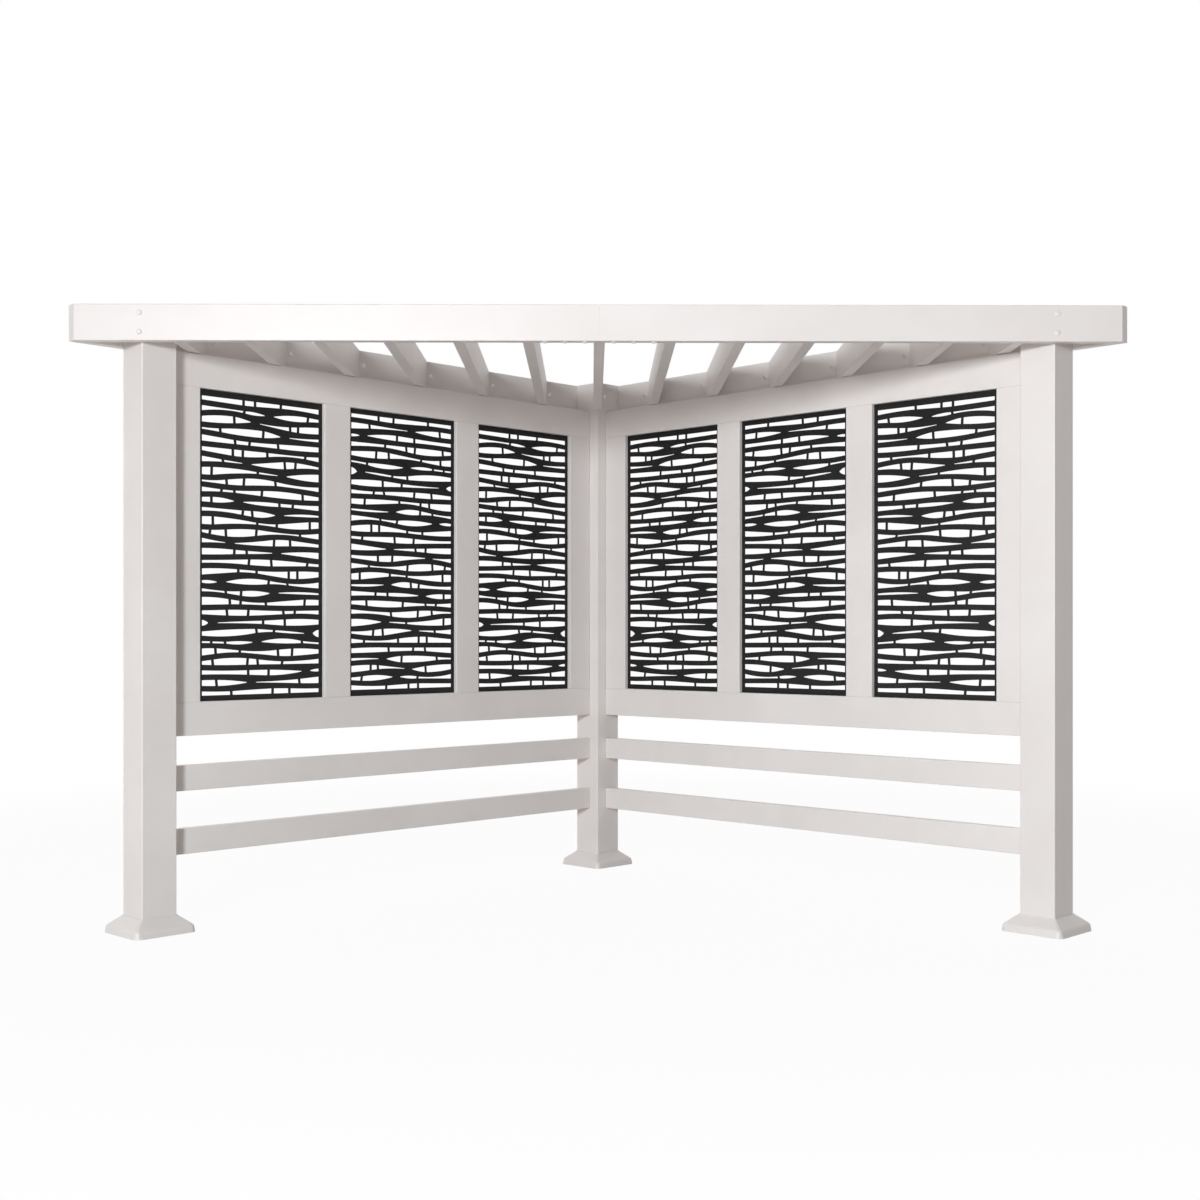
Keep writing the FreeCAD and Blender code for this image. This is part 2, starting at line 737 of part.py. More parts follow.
def make_front_tab(label, hand):
    """A plate on the front beam's back, with a flange inside the rafter."""
    def along(expression):
        return "%d * (%s)" % (hand, expression)
    tip, far, near = along("front_tab"), along("flange_far"), along("flange_near")
    back = along("-rafter_half")
    corners = [(back, "0"), (tip, "0"), (tip, "tab_thickness"), (far, "tab_thickness"),
               (far, "tab_flange"), (near, "tab_flange"), (near, "tab_thickness"),
               (back, "tab_thickness")]
    return bracket_body(label, corners, along("front_tab_bolt"))


def make_rafters_and_brackets(bolt):
    steps = rafter_count()
    for index, step in enumerate(range(-steps, steps + 1), start=1):
        make_rafter(step, "rafter_%d" % index)
    wall_tabs, front_tabs, bolt_places = [], [], []
    for name, side in WALLS.items():
        hand = inward(side)
        seats = [wall_frame(side, rafter_seat(step), "-post_half", "rafter_middle")
                 for step in range(1, steps + 1)]
        wall_tabs.append((make_wall_tab(name + "_wall_tab_piece", hand, "tab_end"), seats))
        head = Vector(-number("tab_bolt"), hand * number("tab_thickness"), 0)
        bolt_places += [seat * Placement(head, pointing(Vector(0, hand, 0))) for seat in seats]
    middle = wall_frame(-1, "post_half", "post_half", "rafter_middle")
    wall_tabs.append((make_wall_tab("middle_wall_tab_piece", 1, "0"), [middle]))
    head = Vector(-number("tab_bolt"), number("tab_thickness"), 0)
    bolt_places.append(middle * Placement(head, pointing(Vector(0, 1, 0))))
    for hand, name, chosen in ((1, "left", range(-steps, 1)), (-1, "right", range(1, steps + 1))):
        seats = [Placement(Vector(number(rafter_place(step)), -number("front_back"),
                                  number("rafter_middle")), Rotation()) for step in chosen]
        front_tabs.append((make_front_tab(name + "_front_tab_piece", hand), seats))
        head = Vector(hand * number("front_tab_bolt"), number("tab_thickness"), 0)
        bolt_places += [seat * Placement(head, pointing(Vector(0, 1, 0))) for seat in seats]
    group("rafter_wall_brackets", wall_tabs)
    group("rafter_front_brackets", front_tabs)
    group("rafter_bolts", [(bolt, bolt_places)])


# Wall frames, lower rails and screens

def bracket_spots(places):
    """Pairs of screws, one above the other, at places along a tube or bracket."""
    return [(along, sign + "screw_pitch / 2") for along in places for sign in ("", "-")]


def make_rail(label, side, height, level, stile_face=0):
    body = tube(label, "YZ_Plane", "frame_depth", height, "frame_wall", "tube_corner",
                "frame_corner", "frame_length")
    ends = ("bracket_screw - post_gap", "frame_length - bracket_screw + post_gap")
    drill(body, "XZ_Plane", bracket_spots(ends), "screw_hole", "frame_depth", -inward(side))
    if stile_face:
        stiles = [("%d * (opening_width + frame_member) + frame_member / 2" % index, "0")
                  for index in range(OPENINGS_PER_WALL + 1)]
        drill(body, "XY_Plane", stiles, "screw_hole", "frame_member", stile_face)
    place_on_wall(body, side, "post_half + post_gap", "0", level)
    return keep(body)


def stile_middle(index):
    return "post_half + post_gap + frame_member / 2 + %d * (opening_width + frame_member)" % index


def screen_screw_heights():
    """Heights of the screws along one edge of a screen, from the opening's base."""
    return ["opening_height * %d / %d" % (2 * index + 1, 2 * SCREEN_SCREWS)
            for index in range(SCREEN_SCREWS)]


def screen_screw_depth(side):
    """Where the screws lie across the wall, in a wall piece's own Y."""
    return "%d * (screen_face - screen_flange / 2)" % inward(side)


def make_stile(label, side, index):
    body = tube(label, "XY_Plane", "frame_member", "frame_depth", "frame_wall", "tube_corner",
                "frame_corner", "opening_height")
    backs = [(sign + "screw_pitch / 2", along) for sign in ("", "-")
             for along in ("bracket_screw", "opening_height - bracket_screw")]
    drill(body, "XZ_Plane", backs, "screw_hole", "frame_depth", -inward(side))
    edges = [(screen_screw_depth(side), height) for height in screen_screw_heights()]
    for direction, present in ((-1, index > 0), (1, index < OPENINGS_PER_WALL)):
        if present:
            drill(body, "YZ_Plane", edges, "screw_hole", "frame_member", direction)
    place_on_wall(body, side, stile_middle(index), "0", "stile_base")
    return keep(body)


def make_u_bracket(label, height):
    """A base square to X with two cheeks that reach into a tube."""
    body = new_body(label)
    sketch = new_sketch(body, "XY_Plane", "-%s / 2" % height)
    wide, inner = "bracket_width / 2", "(bracket_width / 2 - bracket_thickness)"
    draw_outline(sketch, [("0", "-" + wide), ("bracket_length", "-" + wide),
                          ("bracket_length", "-" + inner), ("bracket_thickness", "-" + inner),
                          ("bracket_thickness", inner), ("bracket_length", inner),
                          ("bracket_length", wide), ("0", wide)])
    pad(body, sketch, height)
    drill(body, "XZ_Plane", bracket_spots(("bracket_screw",)), "screw_hole")
    drill(body, "YZ_Plane", [("0", "0")], "screw_hole")
    return body


def rail_bracket_places(side, level):
    """Brackets of one rail, on the corner post and on the outer post."""
    start = wall_frame(side, "post_half", "0", level)
    end = wall_frame(side, "post_spacing - post_half", "0", level)
    return [start, end * Placement(Vector(), Rotation(Vector(0, 0, 1), 180))]


def stile_bracket_places(side, index):
    """Brackets of one stile, on the bottom rail and under the top rail."""
    upright = Placement(Vector(), Rotation(Vector(0, 1, 0), -90))
    hanging = Placement(Vector(), Rotation(Vector(0, 1, 0), 90))
    bottom = wall_frame(side, stile_middle(index), "0", "stile_base")
    top = wall_frame(side, stile_middle(index), "0", "stile_base + opening_height")
    return [bottom * upright, top * hanging]


def bracket_screws(bracket, outward):
    """Three screws of one bracket: one in its base, two through the tube's back."""
    base = Placement(Vector(number("bracket_thickness"), 0, 0), pointing(Vector(1, 0, 0)))
    backs = []
    for sign in (-1, 1):
        head = Vector(number("bracket_screw"), outward * number("frame_depth") / 2,
                      sign * number("screw_pitch") / 2)
        backs.append(Placement(head, pointing(Vector(0, outward, 0))))
    return [bracket * screw for screw in [base] + backs]


def outward_in(bracket, side):
    """Sign of a bracket's own Y axis towards the back of its wall."""
    back = wall_turn(side) * Vector(0, -inward(side), 0)
    return 1 if (bracket.Rotation * Vector(0, 1, 0)).dot(back) > 0 else -1


def fraction(value):
    return value - math.floor(value)


def bar_height(row, rows, x):
    """Height of a bar's centre line above the screen's lower edge.

    All bars drift up and down together, slowly changing from row to row, and each has a wave of its own.
    """
    base, top = number("bottom_border"), number("screen_height - top_border")
    level = base + (top - base) * row / rows
    calm = min(1.0, row / 2, (rows - row) / 2)
    along, up = x / number("drift_length"), level / number("drift_rise")
    drift = math.sin(2 * math.pi * (along + up)) + math.sin(2 * math.pi * COUNTERS_PER_DRIFT * (along - up))
    wave = math.sin(2 * math.pi * (x / number("wave_length") + fraction(row * GOLDEN)))
    return level + calm * (number("drift_height") * drift + number("wave_height") * wave)


def curved_edge(start, middle, end):
    """An arc through three points, or a line where they are almost in line."""
    bow = (middle - start).cross(end - start).Length / (end - start).Length
    if bow < STRAIGHT_WITHIN:
        return Part.LineSegment(start, end).toShape()
    return Part.Arc(start, middle, end).toShape()


def slot_wire(left, right, edges, slants, pointed):
    """One slot between two bars, from tie to tie, drawn to a point at an end where the bars merge."""
    least, sharp = number("least_slot"), number("pointed_end")
    lower, upper = [], []
    for share, end_slant in ((0.0, slants[0]), (0.5, 0.0), (1.0, slants[1])):
        x = left + (right - left) * share
        low, high = edges(x)
        room = max(high - low, least)
        closing = max((1 - share) * pointed[0], share * pointed[1])
        room = sharp + (room - sharp) * (1 - closing * closing)
        middle = (low + high) / 2
        lower.append(Vector(x - end_slant, 0, middle - room / 2))
        upper.append(Vector(x + end_slant, 0, middle + room / 2))
    sides = [curved_edge(*lower), Part.LineSegment(lower[2], upper[2]).toShape(),
             curved_edge(*reversed(upper)), Part.LineSegment(upper[0], lower[0]).toShape()]
    return Part.Wire(sides)


def screen_slots():
    """The wavy slots of a screen: rows between bars, parted by narrow ties or by bars that merge."""
    rows = int(number("screen_height - top_border - bottom_border") // number("slot_pitch"))
    half_bar = number("bar_thickness") / 2
    shortest, spread = number("shortest_slot"), number("longest_slot - shortest_slot")
    start, finish = number("side_border"), number("screen_width - side_border")
    wires = []
    for row in range(rows):
        def edges(x):
            return bar_height(row, rows, x) + half_bar, bar_height(row + 1, rows, x) - half_bar
        left, slant, count, pointed = start, 0.0, 0, False
        while left < finish:
            count += 1
            right = left + shortest + spread * fraction(row * math.sqrt(3) + count * GOLDEN)
            merged = fraction(row * math.sqrt(5) / 3 + count * math.sqrt(7)) < MERGED_SHARE
            gap = number("merge_width") if merged else number("tie_width")
            next_slant = number("tie_slant") * math.sin(5 * row + 3 * count)
            if right > finish - gap - shortest:
                right, next_slant, merged = finish, 0.0, False
            wires.append(slot_wire(left, right, edges, (slant, next_slant), (pointed, merged)))
            left, slant, pointed = right + gap, next_slant, merged
    return wires


def make_screen_shape():
    """A cut-out sheet with a flange round its back, seen from its own lower corner."""
    width, height = number("screen_width"), number("screen_height")
    sheet, flange = number("screen_sheet"), number("screen_flange")
    corners = [Vector(0, 0, 0), Vector(width, 0, 0), Vector(width, 0, height), Vector(0, 0, height)]
    border = Part.makePolygon(corners + corners[:1])
    face = Part.makeFace([border] + screen_slots(), "Part::FaceMakerBullseye")
    plate = face.extrude(Vector(0, -sheet, 0))
    rim = Part.makeBox(width, flange, height, Vector(0, -flange, 0))
    well = Part.makeBox(width - 2 * sheet, flange, height - 2 * sheet, Vector(sheet, -flange, sheet))
    rim = rim.cut(well)
    play = number("fit_play")
    holes = [Part.makeCylinder(number("screw_hole"), width,
                               Vector(0, -flange / 2, number(level) - play), Vector(1, 0, 0))
             for level in screen_screw_heights()]
    return plate.fuse(rim.cut(holes))


def turned_screen(shape):
    """The same screen turned half round in its own plane."""
    turned = shape.copy()
    middle = Vector(number("screen_width") / 2, 0, number("screen_height") / 2)
    turned.rotate(middle, Vector(0, 1, 0), 180)
    return turned


def opening_start(index):
    return "post_half + post_gap + frame_member + %d * (opening_width + frame_member)" % index


def make_screens():
    upright = make_screen_shape()
    forms = (upright, turned_screen(upright), upright)
    for name, side in WALLS.items():
        for index in range(OPENINGS_PER_WALL):
            shape = forms[index % len(forms)]
            if side > 0:
                shape = shape.mirror(Vector(), Vector(0, 1, 0))
            node = doc.addObject("Part::Feature", "%s_screen_%d" % (name, index + 1))
            node.Shape = Part.Solid(shape.Solids[0]) if len(shape.Solids) == 1 else shape
            place_on_wall(node, side, opening_start(index) + " + fit_play", "screen_face",
                          "stile_base + fit_play")
            keep(node)


def screen_screw_places(side, index):
    places = []
    depth = number(screen_screw_depth(side))
    for direction, edge in ((-1, "fit_play + screen_sheet"), (1, "opening_width - fit_play - screen_sheet")):
        for level in screen_screw_heights():
            seat = wall_frame(side, opening_start(index), "0", "stile_base")
            head = Vector(number(edge), depth, number(level))
            places.append(seat * Placement(head, pointing(Vector(-direction, 0, 0))))
    return places


# The assembly

def make_wall(name, side):
    levels = (("first_lower_rail", "lower_rail_height", "first_rail", 0),
              ("second_lower_rail", "lower_rail_height", "second_rail", 0),
              ("bottom_rail", "frame_member", "bottom_rail", 1),
              ("top_rail", "frame_member", "top_rail", -1))
    for rail, height, level, stile_face in levels:
        make_rail("%s_%s" % (name, rail), side, height, level, stile_face)
    for index in range(OPENINGS_PER_WALL + 1):
        make_stile("%s_stile_%d" % (name, index + 1), side, index)


def make_brackets_and_screws(screw):
    frame_places, lower_places, screws = [], [], []
    for side in WALLS.values():
        lower = [spot for level in RAIL_LEVELS[:2] for spot in rail_bracket_places(side, level)]
        frame = [spot for level in RAIL_LEVELS[2:] for spot in rail_bracket_places(side, level)]
        for index in range(OPENINGS_PER_WALL + 1):
            frame += stile_bracket_places(side, index)
        for bracket in lower + frame:
            screws += bracket_screws(bracket, outward_in(bracket, side))
        for index in range(OPENINGS_PER_WALL):
            screws += screen_screw_places(side, index)
        lower_places += lower
        frame_places += frame
    for post in POSTS:
        for direction in (Vector(1, 0, 0), Vector(-1, 0, 0), Vector(0, 1, 0), Vector(0, -1, 0)):
            head = direction * number("post_half")
            screws.append(post_frame(post, "stub_screw_height") * Placement(head, pointing(direction)))
    group("frame_brackets", [(make_u_bracket("frame_bracket_piece", "frame_bracket_height"), frame_places)])
    group("lower_rail_brackets",
          [(make_u_bracket("lower_bracket_piece", "lower_bracket_height"), lower_places)])
    group("self_drilling_screws", [(screw, screws)])


def make_beams():
    front_bolt = headed_fastener("front_bolt_piece", "bolt_radius", "bolt_head_radius",
                                 "bolt_head_height", "front_bolt_length")
    wall_bolt = flanged_fastener("wall_bolt_piece", "bolt_radius", "flange_radius",
                                 "flange_head_height", "wall_bolt_length")
    splice_bolt = headed_fastener("splice_bolt_piece", "bolt_radius", "bolt_head_radius",
                                  "bolt_head_height", "splice_bolt_length")
    nut, block = make_nut(), make_nut_block()
    front_places, block_places, wall_places, nut_places, cap_places = [], [], [], [], []
    splice_places, splice_nuts = [], []
    pitches = (-number("bolt_pitch") / 2, number("bolt_pitch") / 2)
    for name, side in WALLS.items():
        make_wall_beam(name, side)
        make_front_beam(name, side)
        outer = Vector(side * number("outer_offset"), -number("outer_offset"), number("beam_middle"))
        block_places.append(Placement(outer, Rotation()))
        back = pointing(Vector(0, -inward(side), 0))
        for rise in pitches:
            head = Vector(outer.x, -number("front_face"), outer.z + rise)
            front_places.append(Placement(head, pointing(Vector(0, -1, 0))))
            for along in ("0", "post_spacing"):
                face = wall_frame(side, along, "-beam_start", "beam_middle")
                inside = wall_frame(side, along, "-post_half + post_wall + nut_height", "beam_middle")
                lift = Placement(Vector(0, 0, rise), back)
                wall_places.append(face * lift)
                nut_places.append(inside * lift)
        for along in splice_bolts():
            below = Vector(side * number(along), -number("front_middle"), number("frame_top"))
            inside = Vector(0, 0, number("splice_grip"))
            splice_places.append(Placement(below, pointing(Vector(0, 0, -1))))
            splice_nuts.append(Placement(below + inside, Rotation()))
        end = wall_frame(side, "beam_reach - end_cap_thickness", "-beam_line", "beam_middle")
        cap_places.append(end * Placement(Vector(), Rotation(Vector(0, 1, 0), 90)))
    make_splice()
    end_cap = make_cap("end_cap_piece", "beam_height", "beam_depth", "tube_corner", "beam_wall",
                       "beam_corner", "end_cap_thickness", "end_cap_plug")
    group("wall_beam_end_caps", [(end_cap, cap_places)])
    group("front_nut_blocks", [(block, block_places)])
    group("front_beam_bolts", [(front_bolt, front_places)])
    group("splice_bolts", [(splice_bolt, splice_places), (nut, splice_nuts)])
    group("wall_beam_bolts", [(wall_bolt, wall_places), (nut, nut_places)])


def make_posts():
    cap = make_cap("post_cap_piece", "post_side", "post_side", "post_corner", "post_wall",
                   "post_bore_corner", "cap_thickness", "cap_plug")
    plate = make_base_plate()
    shell = make_skirt_shell()
    for name in POSTS:
        make_post(name)
        make_skirt(name, shell)
    group("post_caps", [(cap, [post_frame(name, "top_height - cap_thickness") for name in POSTS])])
    group("base_plates", [(plate, [post_frame(name, "0") for name in POSTS])])


def check_model():
    """Stop if anything failed to build."""
    for item in doc.Objects:
        if "Invalid" in item.State or "Error" in item.State:
            raise RuntimeError("%s failed" % item.Label)
    for node in nodes:
        if node.Shape.isNull() or not node.Shape.isValid() or not node.Shape.Solids:
            raise RuntimeError("%s has no valid shape" % node.Label)


def main():
    make_posts()
    make_beams()
    tab_bolt = flanged_fastener("tab_bolt_piece", "bolt_radius", "flange_radius",
                                "flange_head_height", "tab_bolt_length")
    make_rafters_and_brackets(tab_bolt)
    for name, side in WALLS.items():
        make_wall(name, side)
    make_screens()
    screw = flanged_fastener("screw_piece", "screw_radius", "screw_head_radius",
                             "screw_head_height", "screw_length")
    make_brackets_and_screws(screw)
    doc.recompute()
    check_model()
    os.makedirs("parts", exist_ok=True)
    for node in nodes:
        node.Shape.exportStep("parts/%s.step" % node.Label)
    print(len(nodes), "nodes,", sum(len(node.Shape.Solids) for node in nodes), "solids")


main()
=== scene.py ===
import bmesh
import bpy
import json
import math
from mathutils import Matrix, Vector

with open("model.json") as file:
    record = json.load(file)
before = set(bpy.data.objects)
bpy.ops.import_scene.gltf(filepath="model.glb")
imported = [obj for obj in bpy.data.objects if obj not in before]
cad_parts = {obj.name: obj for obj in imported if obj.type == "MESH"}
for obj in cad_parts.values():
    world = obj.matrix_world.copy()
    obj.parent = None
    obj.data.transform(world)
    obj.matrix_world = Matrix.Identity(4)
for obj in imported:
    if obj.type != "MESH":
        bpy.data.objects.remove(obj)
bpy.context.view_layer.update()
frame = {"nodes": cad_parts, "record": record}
scene = bpy.context.scene

# Camera, worked out from the photograph's edges, for a frame of 1200 by 1200 pixels; metres and radians
FRAME_PIXELS = 1200
FOCAL_PIXELS = 1519.5
OPTICAL_CENTRE = (603.04, 635.26)
SENSOR_WIDTH_MM = 36.0
CAMERA_PLACE = (-0.0269, -7.2845, 1.0947)
CAMERA_TURN = -0.00729

# Soft box, in metres and watts
KEY_PLACE = (-2.3, -9.0, 2.7)
KEY_AIM = (1.4, -5.8, -2.4)
KEY_SIZE = 1.3
KEY_POWER = 640.0
KEY_COLOUR = (0.925, 0.965, 1.0)

# Light of the sky: strengths at the left, at the right and behind, and the Y of a direction from which
# the light from behind grows
AMBIENT_LEFT = 0.42
AMBIENT_RIGHT = 0.05
AMBIENT_BEHIND = 2.2
BEHIND_START = 0.3
AMBIENT_COLOUR = (1.0, 0.945, 0.915, 1.0)

# Background and floor, in metres; the floor turns fully white between two distances from the corner post
WHITE = (1.0, 1.0, 1.0, 1.0)
WHITE_STRENGTH = 1.0
FLOOR_SIZE = 40.0
FLOOR_COLOUR = (0.61, 0.58, 0.565, 1.0)
FLOOR_ROUGHNESS = 0.9
FLOOR_WHITE_SHARE = 0.955
FLOOR_FADE = (3.0, 6.0)

# White powder coat: linear colours, the mottle's span from the deep to the plain tone, roughness
WARM_WHITE = (0.80, 0.765, 0.745, 1.0)
WARM_WHITE_DEEP = (0.755, 0.718, 0.695, 1.0)
WHITE_MOTTLE_SPAN = (0.35, 0.65)
WHITE_ROUGHNESS = (0.36, 0.5)

# Dust on the white coat: colour, greatest cover, height above the ground in metres, its share on faces that
# look up, and the Z of their normals from the first dust to the most
DUST = (0.52, 0.47, 0.41, 1.0)
DUST_SHARE = 0.12
DUST_BAND = 0.05
DUST_ON_TOP = 0.55
UPWARD_SPAN = (0.6, 1.0)

# Black powder coat: linear colours, the mottle's span and share of the worn tone, roughness, reflection
BLACK = (0.0072, 0.0072, 0.0076, 1.0)
BLACK_WORN = (0.015, 0.015, 0.0155, 1.0)
BLACK_MOTTLE_SPAN = (0.4, 0.75)
BLACK_WORN_SHARE = 0.6
BLACK_ROUGHNESS = (0.42, 0.6)
BLACK_SHEEN = 0.27

# Zinc plate: linear colours, spangles per metre, roughness
ZINC = (0.74, 0.73, 0.71, 1.0)
ZINC_DULL = (0.6, 0.595, 0.58, 1.0)
SPANGLE_SCALE = 260.0
ZINC_ROUGHNESS = (0.3, 0.5)

# Sockets of a Mix node that are used when it mixes colours
MIX_FIRST = 6
MIX_SECOND = 7
MIX_RESULT = 2


def add_node(tree, kind, inputs=None, **settings):
    """A node with its settings; each input gets a plain value or a link from another node's output."""
    node = tree.nodes.new(kind)
    for name, value in settings.items():
        setattr(node, name, value)
    for name, source in (inputs or {}).items():
        if isinstance(source, bpy.types.NodeSocket):
            tree.links.new(source, node.inputs[name])
        else:
            node.inputs[name].default_value = source
    return node


def object_place(tree):
    """Place in the object's own coordinates, or direction where the tree is the sky's."""
    return add_node(tree, "ShaderNodeTexCoord").outputs["Object"]


def split_vector(tree, vector):
    """The X, Y and Z of a vector."""
    return add_node(tree, "ShaderNodeSeparateXYZ", {"Vector": vector}).outputs


def calculated(tree, operation, first, second):
    """Two values joined by an operation of a Math node."""
    return add_node(tree, "ShaderNodeMath", {0: first, 1: second}, operation=operation).outputs["Value"]


def ranged(tree, value, limits, span=(0.0, 1.0), interpolation="LINEAR"):
    """A value that goes from the first limit to the second while the given value crosses its span."""
    inputs = {"Value": value, "From Min": span[0], "From Max": span[1],
              "To Min": limits[0], "To Max": limits[1]}
    return add_node(tree, "ShaderNodeMapRange", inputs, interpolation_type=interpolation).outputs["Result"]


def mixed_colour(tree, mask, first, second):
    """Two colours mixed by a mask."""
    inputs = {"Factor": mask, MIX_FIRST: first, MIX_SECOND: second}
    return add_node(tree, "ShaderNodeMix", inputs, data_type="RGBA").outputs[MIX_RESULT]


def noise(tree, place, scale, detail, roughness):
    """Cloudy noise around a half."""
    inputs = {"Vector": place, "Scale": scale, "Detail": detail, "Roughness": roughness}
    return add_node(tree, "ShaderNodeTexNoise", inputs).outputs["Fac"]


def new_group(name, inputs, outputs):
    """A shader node group of values, with the defaults of its inputs; gives its two ends as well."""
    group = bpy.data.node_groups.new(name, "ShaderNodeTree")
    for label, default in inputs.items():
        socket = group.interface.new_socket(name=label, in_out="INPUT", socket_type="NodeSocketFloat")
        socket.default_value = default
    for label in outputs:
        group.interface.new_socket(name=label, in_out="OUTPUT", socket_type="NodeSocketFloat")
    return group, add_node(group, "NodeGroupInput").outputs, add_node(group, "NodeGroupOutput").inputs


def make_grain_group():
    """Fine pebbled skin of a finish, with a slow mottle for gloss and tone."""
    group, given, result = new_group(
        "coat_grain", {"Grain Scale": 700.0, "Mottle Scale": 9.0}, ["Height", "Mottle"])
    place = object_place(group)
    grain = noise(group, place, given["Grain Scale"], detail=2.0, roughness=0.45)
    mottle = noise(group, place, given["Mottle Scale"], detail=3.0, roughness=0.6)
    group.links.new(grain, result["Height"])
    group.links.new(mottle, result["Mottle"])
    return group


def make_dust_group():
    """Mask of dust: a breath near the ground and on faces that look up, broken into patches."""
    group, given, result = new_group("settled_dust", {"Ground Band": 0.25}, ["Mask"])
    place = object_place(group)
    height = split_vector(group, place)["Z"]
    low = ranged(group, height, (1.0, 0.0), (0.0, given["Ground Band"]), "SMOOTHSTEP")
    facing = add_node(group, "ShaderNodeNewGeometry").outputs["Normal"]
    upward = ranged(group, split_vector(group, facing)["Z"], (0.0, DUST_ON_TOP), UPWARD_SPAN)
    most = calculated(group, "MAXIMUM", low, upward)
    patches = noise(group, place, scale=22.0, detail=4.0, roughness=0.62)
    group.links.new(calculated(group, "MULTIPLY", most, patches), result["Mask"])
    return group


grain_group = make_grain_group()
dust_group = make_dust_group()


def new_material(name, values=None):
    """A material with plain values on its shader's sockets; gives its node tree and shader as well."""
    material = bpy.data.materials.new(name)
    material.use_nodes = True
    shader = material.node_tree.nodes["Principled BSDF"]
    for socket, value in (values or {}).items():
        shader.inputs[socket].default_value = value
    return material, material.node_tree, shader


def add_skin(tree, shader, scales, strength, depth):
    """Pebbled skin with a depth in metres; gives the slow mottle."""
    grain = add_node(tree, "ShaderNodeGroup", scales, node_tree=grain_group)
    inputs = {"Height": grain.outputs["Height"], "Strength": strength, "Distance": depth}
    bump = add_node(tree, "ShaderNodeBump", inputs)
    tree.links.new(bump.outputs["Normal"], shader.inputs["Normal"])
    return grain.outputs["Mottle"]


def make_white_coat():
    """Warm white satin powder coat."""
    material, tree, shader = new_material("white_coat")
    scales = {"Grain Scale": 650.0, "Mottle Scale": 2.2}
    mottle = add_skin(tree, shader, scales, strength=0.12, depth=0.0004)
    plain = ranged(tree, mottle, (0.0, 1.0), WHITE_MOTTLE_SPAN)
    tone = mixed_colour(tree, plain, WARM_WHITE_DEEP, WARM_WHITE)
    dust = add_node(tree, "ShaderNodeGroup", {"Ground Band": DUST_BAND}, node_tree=dust_group)
    dust_share = ranged(tree, dust.outputs["Mask"], (0.0, DUST_SHARE))
    tree.links.new(mixed_colour(tree, dust_share, tone, DUST), shader.inputs["Base Color"])
    tree.links.new(ranged(tree, mottle, WHITE_ROUGHNESS), shader.inputs["Roughness"])
    return material


def make_black_coat():
    """Matte black powder coat of the cut-out screens."""
    material, tree, shader = new_material("black_coat", {"Specular IOR Level": BLACK_SHEEN})
    scales = {"Grain Scale": 1400.0, "Mottle Scale": 7.0}
    mottle = add_skin(tree, shader, scales, strength=0.25, depth=0.0003)
    worn = ranged(tree, mottle, (0.0, BLACK_WORN_SHARE), BLACK_MOTTLE_SPAN)
    tree.links.new(mixed_colour(tree, worn, BLACK, BLACK_WORN), shader.inputs["Base Color"])
    tree.links.new(ranged(tree, mottle, BLACK_ROUGHNESS), shader.inputs["Roughness"])
    return material


def make_plated_steel():
    """Zinc-plated brackets and fasteners, with a faint spangle."""
    material, tree, shader = new_material("plated_steel", {"Metallic": 1.0})
    add_skin(tree, shader, {"Grain Scale": 900.0}, strength=0.15, depth=0.0003)
    inputs = {"Vector": object_place(tree), "Scale": SPANGLE_SCALE}
    spangle = add_node(tree, "ShaderNodeTexVoronoi", inputs)
    shade = add_node(tree, "ShaderNodeSeparateColor", {"Color": spangle.outputs["Color"]}).outputs
    tree.links.new(mixed_colour(tree, shade["Red"], ZINC_DULL, ZINC), shader.inputs["Base Color"])
    tree.links.new(ranged(tree, shade["Green"], ZINC_ROUGHNESS), shader.inputs["Roughness"])
    return material


materials = {"white_coat": make_white_coat(), "black_coat": make_black_coat(),
             "plated_steel": make_plated_steel()}
for part in frame["record"]["subparts"]:
    cad = frame["nodes"][part["node"]]
    cad.data.materials.clear()
    cad.data.materials.append(materials[part["material_slot"]])


def make_camera():
    """Level camera in front of the open side."""
    data = bpy.data.cameras.new("photo_camera")
    data.sensor_fit = "HORIZONTAL"
    data.sensor_width = SENSOR_WIDTH_MM
    data.lens = FOCAL_PIXELS / FRAME_PIXELS * SENSOR_WIDTH_MM
    data.shift_x = (FRAME_PIXELS / 2 - OPTICAL_CENTRE[0]) / FRAME_PIXELS
    data.shift_y = (OPTICAL_CENTRE[1] - FRAME_PIXELS / 2) / FRAME_PIXELS
    camera = bpy.data.objects.new("photo_camera", data)
    camera.location = CAMERA_PLACE
    camera.rotation_euler = (math.radians(90), 0.0, CAMERA_TURN)
    scene.collection.objects.link(camera)
    scene.camera = camera


def make_key_light():
    """One soft box in front, to the left and above."""
    data = bpy.data.lights.new("soft_box", "AREA")
    data.shape = "SQUARE"
    data.size = KEY_SIZE
    data.energy = KEY_POWER
    data.color = KEY_COLOUR
    light = bpy.data.objects.new("soft_box", data)
    light.location = KEY_PLACE
    aim = Vector(KEY_AIM) - Vector(KEY_PLACE)
    light.rotation_euler = aim.to_track_quat("-Z", "Y").to_euler()
    scene.collection.objects.link(light)


def background_rays(tree):
    """One for rays from the camera, in reflections and through glass, otherwise nought."""
    path = add_node(tree, "ShaderNodeLightPath").outputs
    mirrored = calculated(tree, "MAXIMUM", path["Is Camera Ray"], path["Is Glossy Ray"])
    return calculated(tree, "MAXIMUM", mirrored, path["Is Transmission Ray"])


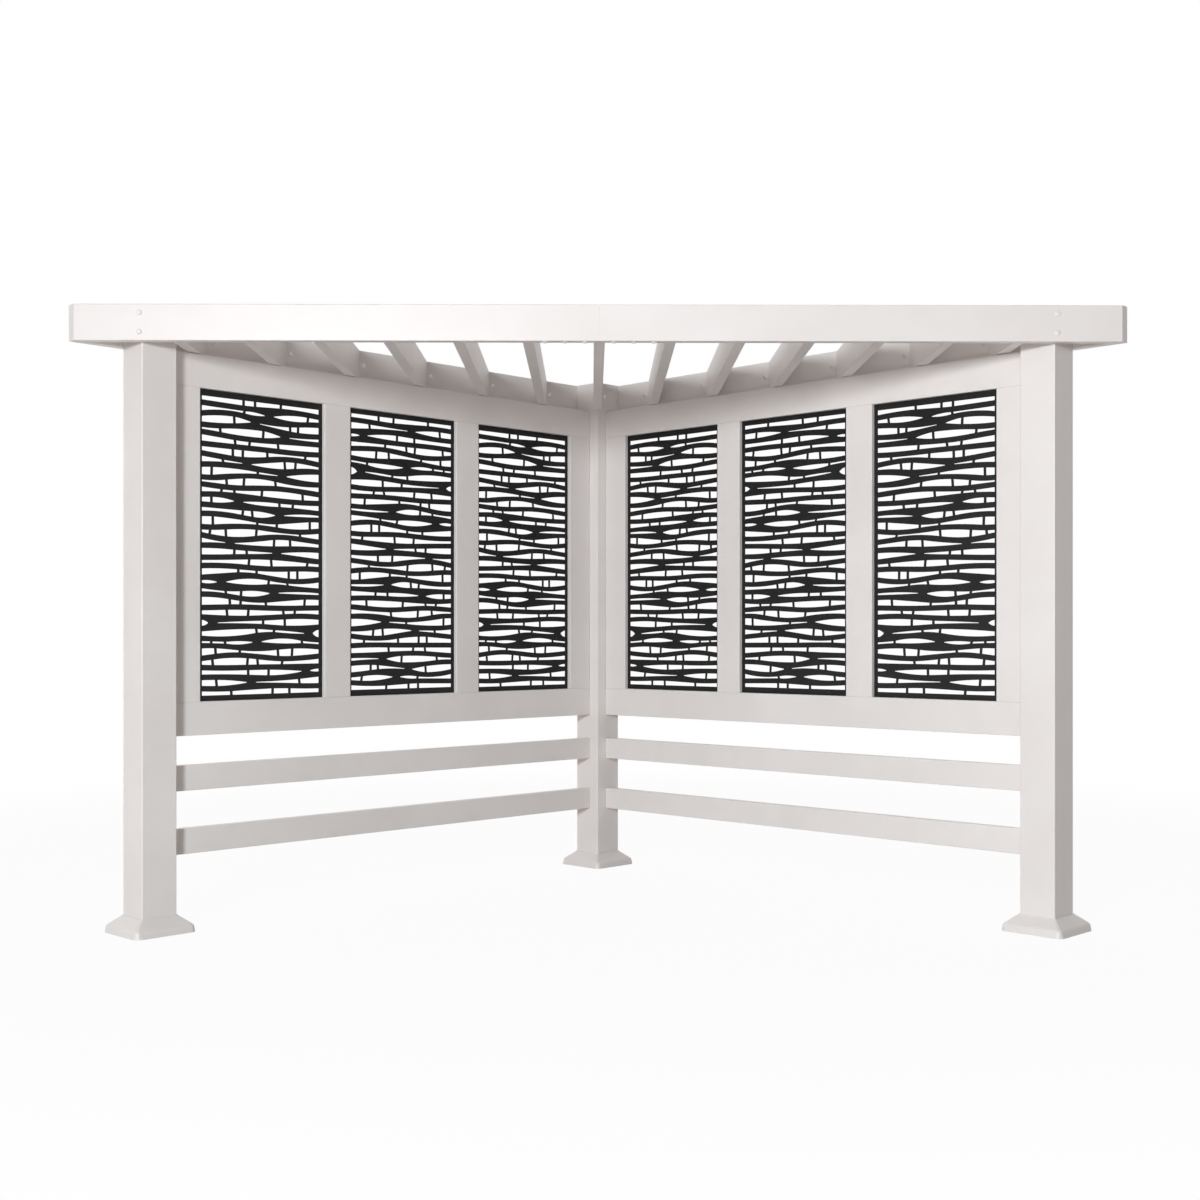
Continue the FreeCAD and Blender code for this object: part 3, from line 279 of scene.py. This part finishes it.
def make_world():
    """White all round as a background; as a source of light warm, by its direction."""
    world = bpy.data.worlds.new("white_studio")
    world.use_nodes = True
    scene.world = world
    tree = world.node_tree
    direction = split_vector(tree, object_place(tree))
    sides = ranged(tree, direction["X"], (AMBIENT_LEFT, AMBIENT_RIGHT), (-1.0, 1.0))
    behind = ranged(tree, direction["Y"], (0.0, AMBIENT_BEHIND), (BEHIND_START, 1.0))
    light = calculated(tree, "ADD", sides, behind)
    background = background_rays(tree)
    strength = add_node(tree, "ShaderNodeMix", {"Factor": background, "A": light, "B": WHITE_STRENGTH})
    sky = tree.nodes["Background"]
    tree.links.new(mixed_colour(tree, background, AMBIENT_COLOUR, WHITE), sky.inputs["Color"])
    tree.links.new(strength.outputs["Result"], sky.inputs["Strength"])


def make_floor_finish():
    """Matte and pale as a source of light; nearly white as a background, and fully so farther out."""
    values = {"Base Color": FLOOR_COLOUR, "Roughness": FLOOR_ROUGHNESS, "Specular IOR Level": 0.0}
    material, tree, shader = new_material("pale_floor", values)
    white = add_node(tree, "ShaderNodeEmission", {"Color": WHITE, "Strength": WHITE_STRENGTH})
    distance = add_node(tree, "ShaderNodeVectorMath", {0: object_place(tree)}, operation="LENGTH")
    share = ranged(tree, distance.outputs["Value"], (FLOOR_WHITE_SHARE, 1.0), FLOOR_FADE, "SMOOTHSTEP")
    seen = calculated(tree, "MULTIPLY", share, background_rays(tree))
    shaders = {0: seen, 1: shader.outputs["BSDF"], 2: white.outputs["Emission"]}
    mix = add_node(tree, "ShaderNodeMixShader", shaders)
    tree.links.new(mix.outputs["Shader"], tree.nodes["Material Output"].inputs["Surface"])
    return material


def make_floor():
    """Flat floor that keeps a soft shadow."""
    mesh = bpy.data.meshes.new("floor")
    shape = bmesh.new()
    bmesh.ops.create_grid(shape, x_segments=1, y_segments=1, size=FLOOR_SIZE / 2)
    shape.to_mesh(mesh)
    shape.free()
    mesh.materials.append(make_floor_finish())
    floor = bpy.data.objects.new("floor", mesh)
    scene.collection.objects.link(floor)


make_camera()
make_key_light()
make_world()
make_floor()
scene.view_settings.view_transform = "Standard"
